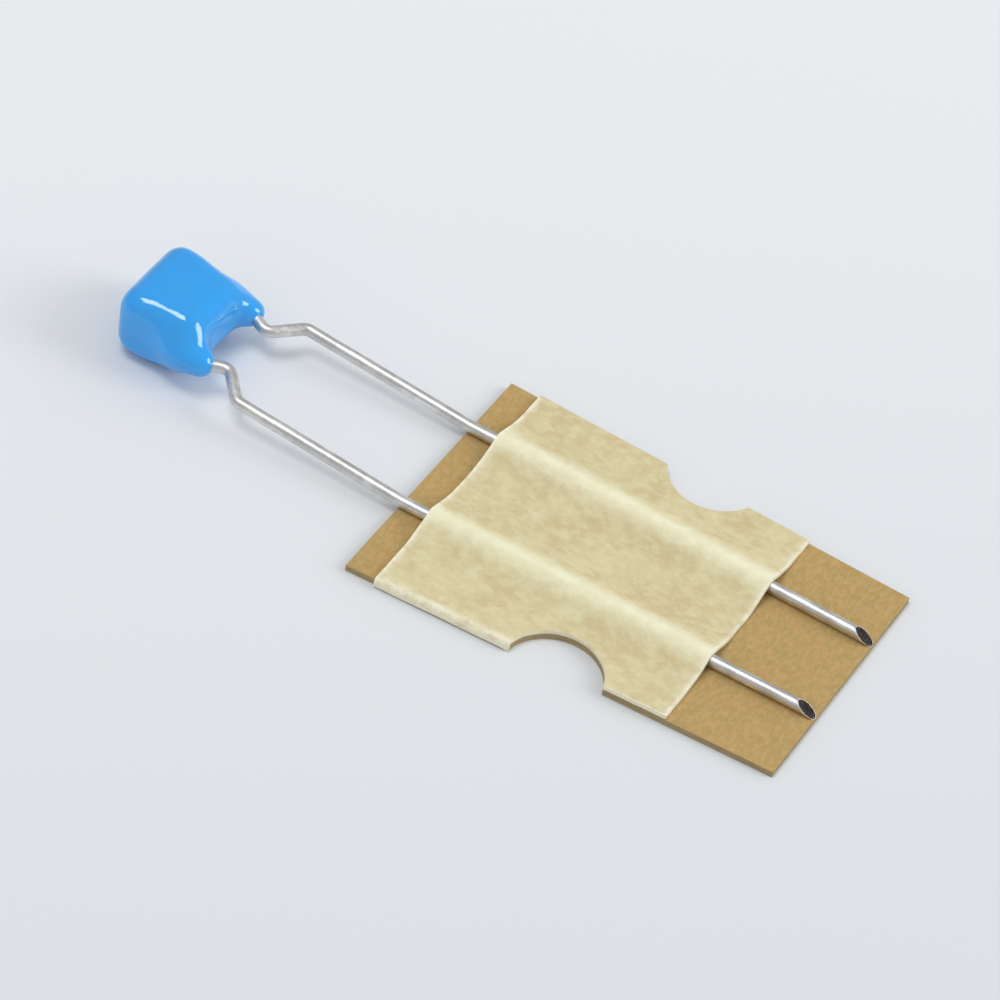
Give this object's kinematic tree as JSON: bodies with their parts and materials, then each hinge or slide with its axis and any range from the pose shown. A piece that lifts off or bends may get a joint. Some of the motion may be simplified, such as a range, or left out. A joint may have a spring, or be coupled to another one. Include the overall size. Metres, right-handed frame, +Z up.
{
  "type": "taped radial ceramic capacitor",
  "caption": "Blue epoxy-dipped ceramic block capacitor with two kinked wire leads, still held by cream tape on a cut piece of brown carrier card.",
  "frame": {"origin": "on the underside of the carrier card, on the feed hole line, midway between the two wires", "axes": "+X along the wires from the capacitor towards their cut ends, +Y across the card, +Z up out of the card"},
  "size_m": [0.0315, 0.0122, 0.0031],
  "materials": {
    "epoxy": "glossy dipped epoxy",
    "ceramic": "matt fired ceramic",
    "end_metal": "matt plated metal",
    "solder": "satin solder",
    "wire": "satin tinned wire",
    "card": "matt kraft card",
    "tape": "matt creped paper tape"
  },
  "bodies": {
    "root": {"epoxy_coat": "epoxy", "ceramic_chip": "ceramic", "end_cap_near": "end_metal", "end_cap_far": "end_metal", "solder_near": "solder", "solder_far": "solder", "wire_near": "wire", "wire_far": "wire", "carrier_card": "card", "hold_down_tape": "tape"}
  },
  "joints": []
}
